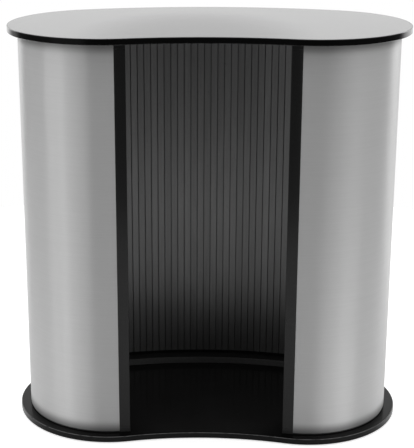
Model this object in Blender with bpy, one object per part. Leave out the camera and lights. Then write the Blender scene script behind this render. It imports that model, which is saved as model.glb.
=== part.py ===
"""Kidney-shaped exhibition counter with a tambour wall.

Two laminated boards of one outline are held apart by a wall of slats on a thin sheet.
The wall wraps both lobes and the rear, and ends at two posts beside the open waist.
Metres, +Z up, the open side towards -Y, the origin under the middle of the boards.
"""

import math
from collections import namedtuple

import bmesh
import bpy
from mathutils import Vector

# Outline of both boards, seen from above
LOBE_RADIUS = 0.239
LOBE_SPACING = 0.497
REAR_RADIUS = 1.015
WAIST_RADIUS = 0.800

# Build-up of a board
BOARD_THICKNESS = 0.015
LAMINATE_THICKNESS = 0.0008
BAND_THICKNESS = 0.002
BAND_ARRIS = 0.0008

# Wall between the boards
WALL_HEIGHT = 0.9694
OVERHANG = 0.025
SKIN_THICKNESS = 0.0008
SKIN_REVEAL = 0.003
SLAT_THICKNESS = 0.006
SLAT_PITCH = 0.0179
SLAT_KERF = 0.0015
SLAT_WEB = 0.0008
SLAT_ARRIS = 0.0004
KERF_OFF_CENTRE = 0.0052
NARROWEST_SLAT = 0.004

# Posts at the two ends of the wall
OPENING_WIDTH = 0.3764
POST_WIDTH = 0.0268
POST_WALL = 0.0010
POST_LAP = 0.0085
POST_CORNER = 0.002
LIP_CORNER = 0.0003
CAP_HEIGHT = 0.012
PLUG_LENGTH = 0.018

# Formers that hold the wall's head and foot, and their tapes
FORMER_WIDTH = 0.032
FORMER_THICKNESS = 0.018
FORMER_SETBACK = 0.005
TAPE_THICKNESS = 0.001
TAPE_HEIGHT = 0.025

# Countersunk screws through the formers
SCREW_COUNT = 7
SCREW_COVER = 0.0033
SCREW_RADIUS = 0.002
SCREW_HEAD_RADIUS = 0.004
SCREW_POINT = 0.003

# Pads under the base
PAD_COUNT = 8
PAD_RADIUS = 0.012
PAD_THICKNESS = 0.002
PAD_INSET = 0.028

# Clearance between touching pieces, overrun of cuts, and fineness of curves and welds
GAP = 0.0003
CUT_OVERRUN = 0.001
CHORD_ERROR = 0.0004
SLIVER_SHARE = 0.1
WELD = 0.00003
CORNER_STEPS = 3
SCREW_SIDES = 10
PAD_SIDES = 16
SHARP_ANGLE = math.radians(30)
QUARTER_TURN = math.pi / 2

# Levels of the base and the wall's foot above the floor, and of the worktop above that foot
BASE_BOTTOM = PAD_THICKNESS + GAP
BASE_TOP = BASE_BOTTOM + BOARD_THICKNESS
WALL_BOTTOM = BASE_TOP + GAP
WORKTOP_ABOVE_WALL = WALL_HEIGHT + GAP

# Depths behind the boards' edge, from the wall's face inwards. A flat slat on a lobe stands
# inside the curve by its sagitta, which the loop tapes and the posts' grips leave free.
SLAT_FACE = OVERHANG + SKIN_THICKNESS + GAP
SLAT_BACK = SLAT_FACE + SLAT_THICKNESS
WIDEST_SLAT = SLAT_PITCH + NARROWEST_SLAT
LOBE_FACE_RADIUS = LOBE_RADIUS - OVERHANG
SLAT_SAGITTA = LOBE_FACE_RADIUS - math.sqrt(LOBE_FACE_RADIUS ** 2 - (WIDEST_SLAT / 2) ** 2)
LOOP_FACE = SLAT_BACK + SLAT_SAGITTA + GAP
LOOP_BACK = LOOP_FACE + TAPE_THICKNESS
HOOK_FACE = LOOP_FACE + max(TAPE_THICKNESS, POST_WALL) + GAP
HOOK_BACK = HOOK_FACE + TAPE_THICKNESS
FORMER_FACE = HOOK_BACK + GAP
FORMER_BACK = FORMER_FACE + FORMER_WIDTH

# A screw passes one board or former whole, and leaves a cover over its point in the other
SCREW_LENGTH = BOARD_THICKNESS + GAP + FORMER_THICKNESS - SCREW_COVER

# A round stretch of the outline. bulge is 1 where it curves out and -1 where it curves in.
Arc = namedtuple("Arc", "centre radius start end bulge")

# A place on the wall: a point, the way along the wall and the way inwards.
Station = namedtuple("Station", "point along inward")

Finish = namedtuple("Finish", "colour roughness metallic")
BLACK_LAMINATE = Finish((0.012, 0.012, 0.013), 0.32, 0.0)
BLACK_BAND = Finish((0.010, 0.010, 0.011), 0.38, 0.0)
BLACK_BOARD = Finish((0.014, 0.014, 0.015), 0.60, 0.0)
WOOD_CORE = Finish((0.30, 0.21, 0.13), 0.80, 0.0)
SILVER = Finish((0.50, 0.50, 0.51), 0.36, 0.85)
SLAT_GREY = Finish((0.055, 0.055, 0.057), 0.65, 0.0)
BLACK_METAL = Finish((0.015, 0.015, 0.016), 0.42, 0.4)
BLACK_PLASTIC = Finish((0.012, 0.012, 0.012), 0.50, 0.0)
BLACK_TAPE = Finish((0.008, 0.008, 0.008), 0.95, 0.0)
ZINC = Finish((0.55, 0.55, 0.53), 0.35, 1.0)
BLACK_RUBBER = Finish((0.015, 0.015, 0.015), 0.85, 0.0)


# Plan geometry

def arc_point(arc, angle, inset):
    """The point at an angle on an arc that is moved inwards by inset."""
    reach = arc.radius - arc.bulge * inset
    return Vector((arc.centre[0] + reach * math.cos(angle), arc.centre[1] + reach * math.sin(angle)))


def arc_angles(arc):
    """The angles of an arc's facets: its ends, and a grid that holds each quarter turn."""
    widest = 2 * math.acos(1 - CHORD_ERROR / arc.radius)
    step = QUARTER_TURN / math.ceil(QUARTER_TURN / widest)
    low, high = sorted((arc.start, arc.end))
    first = math.floor(low / step) + 1
    inner = [index * step for index in range(first, math.ceil(high / step))]
    sliver = step * SLIVER_SHARE
    inner = [angle for angle in inner if low + sliver < angle < high - sliver]
    if arc.start > arc.end:
        inner.reverse()
    return [arc.start] + inner + [arc.end]


def chain(arcs, inset):
    """The points along arcs that meet end to end."""
    points = [arc_point(arcs[0], arcs[0].start, inset)]
    for arc in arcs:
        points += [arc_point(arc, angle, inset) for angle in arc_angles(arc)[1:]]
    return points


def arc_length(arc, inset):
    """The length of an arc that is moved inwards by inset."""
    return abs(arc.end - arc.start) * (arc.radius - arc.bulge * inset)


def line_length(arcs, inset):
    """The length of a line of arcs that is moved inwards by inset."""
    return sum(arc_length(arc, inset) for arc in arcs)


def station(arcs, distance, inset):
    """The place at a distance along a line of arcs that is moved inwards by inset."""
    for arc in arcs:
        if distance <= arc_length(arc, inset) or arc is arcs[-1]:
            break
        distance -= arc_length(arc, inset)
    turn = 1 if arc.end > arc.start else -1
    angle = arc.start + turn * distance / (arc.radius - arc.bulge * inset)
    outward = Vector((math.cos(angle), math.sin(angle))) * arc.bulge
    along = Vector((-math.sin(angle), math.cos(angle))) * turn
    return Station(arc_point(arc, angle, inset), along, -outward)


def lengthened(arcs, extra, inset):
    """The same line with both ends drawn out by a length, or drawn in where it is negative."""
    first = arcs[0]
    last = arcs[-1]
    start = first.start - extra / (first.radius - first.bulge * inset)
    end = last.end + extra / (last.radius - last.bulge * inset)
    middle = list(arcs[1:-1])
    return [first._replace(start=start)] + middle + [last._replace(end=end)]


def board_outline():
    """The closed outline of both boards as waist, right lobe, rear and left lobe."""
    half = LOBE_SPACING / 2
    rear_drop = math.sqrt((REAR_RADIUS - LOBE_RADIUS) ** 2 - half ** 2)
    waist_drop = math.sqrt((WAIST_RADIUS + LOBE_RADIUS) ** 2 - half ** 2)
    lobe_y = (LOBE_RADIUS - (REAR_RADIUS - rear_drop)) / 2
    rear_angle = math.atan2(rear_drop, half)
    waist_angle = math.atan2(waist_drop, half)
    waist = Arc((0, lobe_y - waist_drop), WAIST_RADIUS, math.pi - waist_angle, waist_angle, -1)
    right = Arc((half, lobe_y), LOBE_RADIUS, waist_angle - math.pi, rear_angle, 1)
    rear = Arc((0, lobe_y - rear_drop), REAR_RADIUS, rear_angle, math.pi - rear_angle, 1)
    left = Arc((-half, lobe_y), LOBE_RADIUS, math.pi - rear_angle, 2 * math.pi - waist_angle, 1)
    return [waist, right, rear, left]


def wall_line(outline):
    """The wall's line from its end in the right post, round the rear, to its end in the left post.

    The middle of a post's grip stands at the angle on the lobe that gives the opening its width.
    """
    waist, right, rear, left = outline
    face = right.radius - OVERHANG
    beyond = POST_WIDTH - POST_LAP / 2
    reach = math.hypot(face, beyond)
    aside = OPENING_WIDTH / 2 - right.centre[0]
    grip = math.atan2(beyond, face) - math.acos(aside / reach)
    start = grip - POST_LAP / 2 / face
    return [right._replace(start=start), rear, left._replace(end=math.pi - start)]


def slat_stations(wall):
    """The distances along the wall's face of its two ends and of each kerf between them."""
    length = line_length(wall, OVERHANG)
    middle = length / 2 - KERF_OFF_CENTRE
    before = math.floor((middle - NARROWEST_SLAT) / SLAT_PITCH)
    after = math.floor((length - middle - NARROWEST_SLAT) / SLAT_PITCH)
    kerfs = [middle + index * SLAT_PITCH for index in range(-before, after + 1)]
    return [0] + kerfs + [length]


# Mesh building

def fill_plan(bm, loops, level):
    """Faces at a level that fill the first loop and leave the other loops open."""
    edges = []
    for loop in loops:
        verts = [bm.verts.new((point[0], point[1], level)) for point in loop]
        edges += [bm.edges.new((verts[index - 1], verts[index])) for index in range(len(verts))]
    filled = bmesh.ops.triangle_fill(bm, use_beauty=True, use_dissolve=False, edges=edges)
    return [item for item in filled["geom"] if isinstance(item, bmesh.types.BMFace)]


def raise_faces(bm, faces, height):
    """Extrude faces along Z, and return the faces at the far end."""
    raised = bmesh.ops.extrude_face_region(bm, geom=faces)["geom"]
    verts = [item for item in raised if isinstance(item, bmesh.types.BMVert)]
    bmesh.ops.translate(bm, vec=(0, 0, height), verts=verts)
    return [item for item in raised if isinstance(item, bmesh.types.BMFace)]


def plan_solid(bm, loops, bottom, top):
    """An upright solid on the first loop, with the other loops as openings right through it."""
    raise_faces(bm, fill_plan(bm, loops, bottom), top - bottom)


def strip_solid(bm, outer, inner, bottom, top):
    """An upright solid on the strip between two chains of points with as many points each."""
    verts = [bm.verts.new((point[0], point[1], bottom)) for point in outer]
    edges = [bm.edges.new(pair) for pair in zip(verts, verts[1:])]
    drawn = bmesh.ops.extrude_edge_only(bm, edges=edges)["geom"]
    faces = [item for item in drawn if isinstance(item, bmesh.types.BMFace)]
    copies = [item for item in drawn if isinstance(item, bmesh.types.BMVert)]
    for copy in copies:
        source = next(edge.other_vert(copy) for edge in copy.link_edges if edge.other_vert(copy) in verts)
        copy.co.xy = inner[verts.index(source)]
    raise_faces(bm, faces, top - bottom)


def turned_solid(bm, profile, sides, place):
    """A solid turned about an upright axis at a place, from pairs of radius and height."""
    others = set(bm.verts)
    verts = [bm.verts.new((radius, 0, height)) for radius, height in profile]
    edges = [bm.edges.new(pair) for pair in zip(verts, verts[1:])]
    full = 2 * math.pi
    bmesh.ops.spin(
        bm, geom=verts + edges, cent=(0, 0, 0), axis=(0, 0, 1), angle=full, steps=sides, use_merge=True
    )
    made = [vert for vert in bm.verts if vert not in others]
    bmesh.ops.remove_doubles(bm, verts=made, dist=WELD)
    made = [vert for vert in bm.verts if vert not in others]
    bmesh.ops.translate(bm, vec=place, verts=made)


def new_mesh(name, bm, finish):
    """A mesh of finished shapes, with its own material unless it is a cutter's."""
    bmesh.ops.recalc_face_normals(bm, faces=bm.faces)
    mesh = bpy.data.meshes.new(name)
    bm.to_mesh(mesh)
    bm.free()
    mesh.shade_smooth()
    mesh.set_sharp_from_angle(angle=SHARP_ANGLE)
    if finish:
        material = bpy.data.materials.new(name)
        material.use_nodes = True
        shader = material.node_tree.nodes["Principled BSDF"]
        shader.inputs["Base Color"].default_value = (*finish.colour, 1)
        shader.inputs["Roughness"].default_value = finish.roughness
        shader.inputs["Metallic"].default_value = finish.metallic
        mesh.materials.append(material)
    return mesh


def add_object(name, mesh, parent, place=(0, 0, 0)):
    """An object of a mesh, set at a place in its assembly. An empty has no mesh."""
    item = bpy.data.objects.new(name, mesh)
    item.parent = parent
    item.location = place
    bpy.context.scene.collection.objects.link(item)
    return item


def add_solid(name, bm, finish, parent):
    """An object of finished shapes that are built at their place in their assembly."""
    return add_object(name, new_mesh(name, bm, finish), parent)


def cut(item, cutter):
    """Take a cutter's shape out of an object."""
    modifier = item.modifiers.new("Cut", "BOOLEAN")
    modifier.operation = "DIFFERENCE"
    modifier.solver = "EXACT"
    modifier.object = cutter


# Boards

def make_board(prefix, outline, bottom, parent):
    """A board's core, its two laminates and its edge band."""
    top = bottom + BOARD_THICKNESS
    face = chain(outline, BAND_THICKNESS + GAP)[:-1]
    layers = {
        "backing_laminate": (bottom, bottom + LAMINATE_THICKNESS, BLACK_LAMINATE),
        "core": (bottom + LAMINATE_THICKNESS + GAP, top - LAMINATE_THICKNESS - GAP, WOOD_CORE),
        "top_laminate": (top - LAMINATE_THICKNESS, top, BLACK_LAMINATE),
    }
    pieces = {}
    for layer, (low, high, finish) in layers.items():
        bm = bmesh.new()
        plan_solid(bm, [face], low, high)
        pieces[layer] = add_solid(f"{prefix}_{layer}", bm, finish, parent)

    bm = bmesh.new()
    rim = chain(outline, 0)[:-1]
    plan_solid(bm, [rim, chain(outline, BAND_THICKNESS)[:-1]], bottom, top)
    level_edges = [edge for edge in bm.edges if edge.verts[0].co.z == edge.verts[1].co.z]
    arrises = [edge for edge in level_edges if all(on_loop(vert, rim) for vert in edge.verts)]
    bmesh.ops.bevel(
        bm, geom=arrises, offset=BAND_ARRIS, affect="EDGES", segments=1, profile=0.5, material=-1
    )
    add_solid(f"{prefix}_edge_band", bm, BLACK_BAND, parent)
    return pieces


def make_former(prefix, line, bottom, parent):
    """A C-shaped former that lies inside the wall, and the hook tape on its outer edge."""
    top = bottom + FORMER_THICKNESS
    bm = bmesh.new()
    strip_solid(bm, chain(line, FORMER_FACE), chain(line, FORMER_BACK), bottom, top)
    former = add_solid(f"{prefix}_former", bm, BLACK_BOARD, parent)

    bm = bmesh.new()
    strip_solid(bm, chain(line, HOOK_FACE), chain(line, HOOK_BACK), bottom, top)
    add_solid(f"{prefix}_hook_tape", bm, BLACK_TAPE, parent)
    return former


def screw_profile(clearance, overrun):
    """A countersunk screw's radius and height from its head at zero up to its point.

    With a clearance and an overrun it is the profile of the screw's hole.
    """
    shank = SCREW_RADIUS + clearance
    head = SCREW_HEAD_RADIUS + clearance
    neck = SCREW_HEAD_RADIUS - SCREW_RADIUS
    tip = SCREW_LENGTH + clearance
    mouth = [(0, -overrun), (head, -overrun)] if overrun else [(0, 0)]
    return mouth + [(head, 0), (shank, neck), (shank, tip - SCREW_POINT), (0, tip)]


def make_screws(prefix, line, level, parent, pieces):
    """The screws along a former's middle, and their holes in the pieces that they pass."""
    inset = (FORMER_FACE + FORMER_BACK) / 2
    spacing = line_length(line, inset) / SCREW_COUNT
    points = [station(line, spacing * (index + 0.5), inset).point for index in range(SCREW_COUNT)]
    places = [(point.x, point.y, level) for point in points]

    bm = bmesh.new()
    turned_solid(bm, screw_profile(0, 0), SCREW_SIDES, (0, 0, 0))
    mesh = new_mesh(f"{prefix}_former_screw", bm, ZINC)
    for number, place in enumerate(places, 1):
        add_object(f"{prefix}_former_screw_{number}", mesh, parent, place)

    bm = bmesh.new()
    for place in places:
        turned_solid(bm, screw_profile(GAP, CUT_OVERRUN), SCREW_SIDES, place)
    cutter = add_solid(f"{prefix}_screw_holes", bm, None, parent)
    cutter.hide_render = True
    cutter.display_type = "WIRE"
    for piece in pieces:
        cut(piece, cutter)


def make_pads(outline, parent):
    """The round pads under the base, evenly spaced round its outline on both sides of the waist."""
    around = line_length(outline, PAD_INSET)
    waist_middle = arc_length(outline[0], PAD_INSET) / 2
    bm = bmesh.new()
    profile = [(0, 0), (PAD_RADIUS, 0), (PAD_RADIUS, PAD_THICKNESS), (0, PAD_THICKNESS)]
    turned_solid(bm, profile, PAD_SIDES, (0, 0, 0))
    mesh = new_mesh("base_pad", bm, BLACK_RUBBER)
    for index in range(PAD_COUNT):
        distance = (waist_middle + around * (index + 0.5) / PAD_COUNT) % around
        point = station(outline, distance, PAD_INSET).point
        add_object(f"base_pad_{index + 1}", mesh, parent, (point.x, point.y, 0))


# Wall

def facet(wall, begin, finish):
    """The start, the way along and the way inwards of the wall's facet between two distances."""
    start = station(wall, begin, OVERHANG).point
    along = (station(wall, finish, OVERHANG).point - start).normalized()
    return start, along, Vector((-along.y, along.x))


def make_skin(wall, parent):
    """The thin sheet that faces the wall, with one facet for each slat."""
    stops = slat_stations(wall)
    places = [station(wall, stop, OVERHANG) for stop in stops]
    outer = [place.point for place in places]
    inner = [place.point + place.inward * SKIN_THICKNESS for place in places]
    bm = bmesh.new()
    strip_solid(bm, outer, inner, SKIN_REVEAL, WALL_HEIGHT - SKIN_REVEAL)
    add_solid("wall_skin", bm, SILVER, parent)


def slat_sheet_plan(wall, stops):
    """The plan of a sheet of slats that a thin web joins behind the wall's skin.

    Its face follows the facets of the skin, and its back has a kerf at each inner stop.
    """
    face_depth = SKIN_THICKNESS + GAP
    web_depth = face_depth + SLAT_WEB
    back_depth = face_depth + SLAT_THICKNESS
    face = []
    back = []
    for begin, finish in zip(stops, stops[1:]):
        start, along, inward = facet(wall, begin, finish)
        low = SLAT_KERF / 2
        high = (finish - begin) - low
        corners = [
            (low, web_depth),
            (low, back_depth - SLAT_ARRIS),
            (low + SLAT_ARRIS, back_depth),
            (high - SLAT_ARRIS, back_depth),
            (high, back_depth - SLAT_ARRIS),
            (high, web_depth),
        ]
        first = begin == stops[0]
        last = finish == stops[-1]
        place = station(wall, begin, OVERHANG)
        if first:
            face.append(start + along * low + inward * face_depth)
            corners = corners[1:]
        else:
            face.append(place.point + place.inward * face_depth)
        if last:
            face.append(start + along * high + inward * face_depth)
            corners = corners[:-1]
        back += [start + along * across + inward * depth for across, depth in corners]
    return face + back[::-1]


def make_slats(wall, parent):
    """The slat sheets of the wall's two lobes and its rear."""
    stops = slat_stations(wall)
    joint = arc_length(wall[0], OVERHANG)
    far_joint = joint + arc_length(wall[1], OVERHANG)
    first = min(range(len(stops)), key=lambda index: abs(stops[index] - joint))
    second = min(range(len(stops)), key=lambda index: abs(stops[index] - far_joint))
    sheets = {
        "right_lobe_slats": stops[: first + 1],
        "rear_slats": stops[first : second + 1],
        "left_lobe_slats": stops[second:],
    }
    for name, span in sheets.items():
        bm = bmesh.new()
        plan_solid(bm, [slat_sheet_plan(wall, span)], 0, WALL_HEIGHT)
        add_solid(name, bm, SLAT_GREY, parent)


def make_loop_tapes(wall, parent):
    """The loop tapes along the inside of the wall's head and foot, clear of the posts."""
    line = lengthened(wall, -(POST_LAP + GAP), OVERHANG)
    levels = {
        "lower_loop_tape": (0, TAPE_HEIGHT),
        "upper_loop_tape": (WALL_HEIGHT - TAPE_HEIGHT, WALL_HEIGHT),
    }
    for name, (low, high) in levels.items():
        bm = bmesh.new()
        strip_solid(bm, chain(line, LOOP_FACE), chain(line, LOOP_BACK), low, high)
        add_solid(name, bm, BLACK_TAPE, parent)


# Posts

def rounded(corners):
    """A loop through square corners, each given as across, depth and radius."""
    points = []
    for index, (across, depth, radius) in enumerate(corners):
        here = Vector((across, depth))
        before = (Vector(corners[index - 1][:2]) - here).normalized()
        after = (Vector(corners[(index + 1) % len(corners)][:2]) - here).normalized()
        if not radius:
            points.append(here)
            continue
        centre = here + (before + after) * radius
        for step in range(CORNER_STEPS + 1):
            turn = QUARTER_TURN * step / CORNER_STEPS
            points.append(centre - after * radius * math.cos(turn) - before * radius * math.sin(turn))
    return points


def hollow_loop(left, right, low, high, radius):
    """A loop round a box of the plan, rounded at its right corners."""
    return rounded([(left, low, 0), (right, low, radius), (right, high, radius), (left, high, 0)])


def post_loops():
    """A post's plan: its outline with the grip for the wall, its hollow, and a cap's plug.

    The first number runs from the grip's mouth towards the opening, the second from the wall's
    face inwards.
    """
    grip_back = LOOP_FACE - OVERHANG
    grip_floor = POST_LAP + GAP
    front = -GAP - POST_WALL
    back = grip_back + POST_WALL
    outline = [
        (0, front, LIP_CORNER),
        (POST_WIDTH, front, POST_CORNER),
        (POST_WIDTH, back, POST_CORNER),
        (0, back, LIP_CORNER),
        (0, grip_back, 0),
        (grip_floor, grip_back, 0),
        (grip_floor, -GAP, 0),
        (0, -GAP, 0),
    ]
    left = grip_floor + POST_WALL
    right = POST_WIDTH - POST_WALL
    radius = max(POST_CORNER - POST_WALL, GAP)
    hollow = hollow_loop(left, right, -GAP, grip_back, radius)
    plug = hollow_loop(left + GAP, right - GAP, 0, grip_back - GAP, radius)
    return rounded(outline), hollow, plug


def placed_loop(loop, wall, side):
    """A post's loop set over the wall's end, on the right for side 1 and on the left for -1."""
    grip = station(wall, POST_LAP / 2, OVERHANG)
    mouth = grip.point + grip.along * (POST_LAP / 2)
    points = [mouth - grip.along * point.x + grip.inward * point.y for point in loop]
    return [Vector((point.x * side, point.y)) for point in points]


def on_loop(vert, loop):
    """Whether a vertex stands over or under a point of a loop."""
    return any((vert.co.xy - point).length < WELD for point in loop)


def make_cap(name, outline, plug, level, up, parent):
    """A cap with the post's outline, and a plug that goes up or down into the post's hollow."""
    bm = bmesh.new()
    faces = fill_plan(bm, [outline, plug], level)
    rim = [edge for edge in bm.edges if all(on_loop(vert, plug) for vert in edge.verts)]
    faces += bmesh.ops.contextual_create(bm, geom=rim)["faces"]
    ends = raise_faces(bm, faces, up * CAP_HEIGHT)
    middle = [face for face in ends if all(on_loop(vert, plug) for vert in face.verts)]
    raise_faces(bm, middle, up * PLUG_LENGTH)
    bmesh.ops.delete(bm, geom=middle, context="FACES_ONLY")
    add_solid(name, bm, BLACK_PLASTIC, parent)


def make_posts(wall, parent):
    """The hollow posts on the wall's two ends, each with a cap at its head and its foot."""
    outline, hollow, plug = post_loops()
    for name, side in (("right", 1), ("left", -1)):
        outer = placed_loop(outline, wall, side)
        core = placed_loop(plug, wall, side)
        bm = bmesh.new()
        loops = [outer, placed_loop(hollow, wall, side)]
        plan_solid(bm, loops, CAP_HEIGHT + GAP, WALL_HEIGHT - CAP_HEIGHT - GAP)
        add_solid(f"{name}_end_post", bm, BLACK_METAL, parent)
        make_cap(f"{name}_post_foot_cap", outer, core, 0, 1, parent)
        make_cap(f"{name}_post_head_cap", outer, core, WALL_HEIGHT, -1, parent)


def make_base(outline, line):
    """The base that stands on the floor."""
    base = add_object("base", None, None)
    board = make_board("base", outline, BASE_BOTTOM, base)
    former = make_former("base", line, BASE_TOP + GAP, base)
    passed = [board["backing_laminate"], board["core"], board["top_laminate"], former]
    make_screws("base", line, BASE_BOTTOM, base, passed)
    make_pads(outline, base)


def make_wall(wall):
    """The wall that lifts off the base."""
    lift = add_object("wall_lift", None, None, (0, 0, WALL_BOTTOM))
    make_skin(wall, lift)
    make_slats(wall, lift)
    make_loop_tapes(wall, lift)
    make_posts(wall, lift)
    return lift


def make_worktop(outline, line, parent):
    """The worktop that lifts off the wall."""
    lift = add_object("worktop_lift", None, parent, (0, 0, WORKTOP_ABOVE_WALL))
    board = make_board("worktop", outline, 0, lift)
    former_bottom = -GAP - FORMER_THICKNESS
    former = make_former("worktop", line, former_bottom, lift)
    make_screws("worktop", line, former_bottom, lift, [former, board["backing_laminate"], board["core"]])


def main():
    """Clear the scene and build the counter."""
    for item in list(bpy.data.objects):
        bpy.data.objects.remove(item)

    outline = board_outline()
    wall = wall_line(outline)
    former_line = lengthened(wall, POST_WIDTH - POST_LAP - FORMER_SETBACK, OVERHANG)
    make_base(outline, former_line)
    lift = make_wall(wall)
    make_worktop(outline, former_line, lift)


main()
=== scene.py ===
"""Kidney-shaped exhibition counter with a tambour wall, dressed for its photograph.

Two black laminated boards of one outline are held apart by a wall of slats behind a smooth
silver sheet, which ends at two black posts beside the open waist. Metres, +Z up, the open side
towards -Y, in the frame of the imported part.
"""

import logging
import math
import random
from dataclasses import dataclass, field, replace
from enum import Enum
from typing import Any, Callable, Iterable

import bmesh
import bpy
from mathutils import Matrix, Vector


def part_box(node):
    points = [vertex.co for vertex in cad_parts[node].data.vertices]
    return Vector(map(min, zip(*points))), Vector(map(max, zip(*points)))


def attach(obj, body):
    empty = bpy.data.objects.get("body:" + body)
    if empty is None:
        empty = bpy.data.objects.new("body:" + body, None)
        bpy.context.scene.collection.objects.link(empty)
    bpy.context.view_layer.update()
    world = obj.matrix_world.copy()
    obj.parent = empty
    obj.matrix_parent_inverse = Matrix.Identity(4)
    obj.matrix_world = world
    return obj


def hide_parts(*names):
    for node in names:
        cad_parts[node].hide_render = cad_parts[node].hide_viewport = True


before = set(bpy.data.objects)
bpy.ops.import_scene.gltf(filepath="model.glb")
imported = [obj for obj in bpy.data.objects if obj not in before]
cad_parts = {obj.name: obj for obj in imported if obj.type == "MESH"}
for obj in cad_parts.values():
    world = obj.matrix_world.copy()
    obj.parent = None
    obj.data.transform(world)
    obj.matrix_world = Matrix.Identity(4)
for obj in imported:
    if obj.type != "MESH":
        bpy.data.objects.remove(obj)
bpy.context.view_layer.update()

LOG = logging.getLogger("counter")
WELD = 0.00002
CHORD = 0.008
CORNER_ANGLE = math.radians(40)
SHARP_ANGLE = math.radians(35)
BEAM = math.radians(50)
HALF_TURN = math.pi
FULL_TURN = 2 * math.pi

Colour = tuple[float, float, float]
Edges = list[bmesh.types.BMEdge]


class Body(Enum):
    """The bodies that pieces ride on."""

    BASE = "base"
    WALL = "wall"
    WORKTOP = "worktop"


class Slot(Enum):
    """The record's material slots."""

    LAMINATE = "black_laminate"
    BAND = "black_edge_band"
    CORE = "wood_core"
    BOARD = "black_board"
    SILVER = "silver_sheet"
    SLATS = "grey_slats"
    PROFILE = "black_profile"
    PLASTIC = "black_plastic"
    TAPE = "black_tape"
    ZINC = "zinc_screw"
    RUBBER = "black_rubber"


class Surface(Enum):
    """The finished surfaces, by the names of their materials."""

    WORKTOP_LAMINATE = "polished_laminate"
    BASE_LAMINATE = "satin_laminate"
    WORKTOP_BAND = "glossy_edge_band"
    BASE_BAND = "edge_band_painted_arris"
    CORE = "fibreboard_core"
    BOARD = "stained_board"
    SILVER = "silver_satin"
    SLATS = "slat_grey"
    PROFILE = "powder_black"
    PLASTIC = "moulded_black"
    TAPE = "tape_black"
    ZINC = "zinc_bright"
    RUBBER = "rubber_black"


class Side(Enum):
    """The sides of the open waist, as the sign of X."""

    LEFT = -1
    RIGHT = 1


# Lines in plan


@dataclass(frozen=True)
class Arc:
    """A round stretch of a line in plan. bulge is 1 where it curves out, -1 where it curves in."""

    centre: tuple[float, float]
    radius: float
    start: float
    end: float
    bulge: int

    def reach(self, inset: float) -> float:
        """The radius once the arc is moved inwards by inset."""
        return self.radius - self.bulge * inset

    def point(self, angle: float, inset: float, level: float = 0.0) -> Vector:
        """The point at an angle on the arc, moved inwards by inset and set at a level.

        Args:
            angle: the turn from +X about the arc's centre, in radians.
            inset: how far inwards the arc is moved.
            level: the point's height.

        Returns:
            The point.
        """
        reach = self.reach(inset)
        return Vector((
            self.centre[0] + reach * math.cos(angle),
            self.centre[1] + reach * math.sin(angle),
            level,
        ))

    def length(self, inset: float) -> float:
        """The arc's length once it is moved inwards by inset."""
        return abs(self.end - self.start) * self.reach(inset)

    def steps(self, longest: float) -> int:
        """The number of even steps that keeps each chord under a length."""
        return max(1, math.ceil(self.length(0) / longest))


@dataclass(frozen=True)
class Place:
    """A place on a line: a point, the way along the line and the way inwards."""

    point: Vector
    along: Vector
    inward: Vector


@dataclass(frozen=True)
class Line:
    """Arcs in plan that meet end to end without a corner."""

    arcs: tuple[Arc, ...]

    def length(self, inset: float) -> float:
        """The line's length once it is moved inwards by inset."""
        return sum(arc.length(inset) for arc in self.arcs)

    def place(self, distance: float, inset: float) -> Place:
        """The place at a distance along the line.

        Args:
            distance: length from the line's start, measured on the line moved inwards.
            inset: how far inwards the line is moved.

        Returns:
            The point there, with the ways along and inwards.
        """
        for arc in self.arcs:
            if distance <= arc.length(inset) or arc is self.arcs[-1]:
                break
            distance -= arc.length(inset)
        turn = 1 if arc.end > arc.start else -1
        angle = arc.start + turn * distance / arc.reach(inset)
        outward = Vector((math.cos(angle), math.sin(angle), 0)) * arc.bulge
        along = Vector((-math.sin(angle), math.cos(angle), 0)) * turn
        return Place(arc.point(angle, inset), along, -outward)

    def lengthened(self, extra: float, inset: float) -> "Line":
        """The same line with both ends drawn out by a length, or in where it is negative.

        Args:
            extra: the length added at each end, measured on the line moved inwards.
            inset: how far inwards the line is moved.

        Returns:
            The longer or shorter line.
        """
        first, *middle, last = self.arcs
        start = first.start - extra / first.reach(inset)
        end = last.end + extra / last.reach(inset)
        return Line((replace(first, start=start), *middle, replace(last, end=end)))


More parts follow.
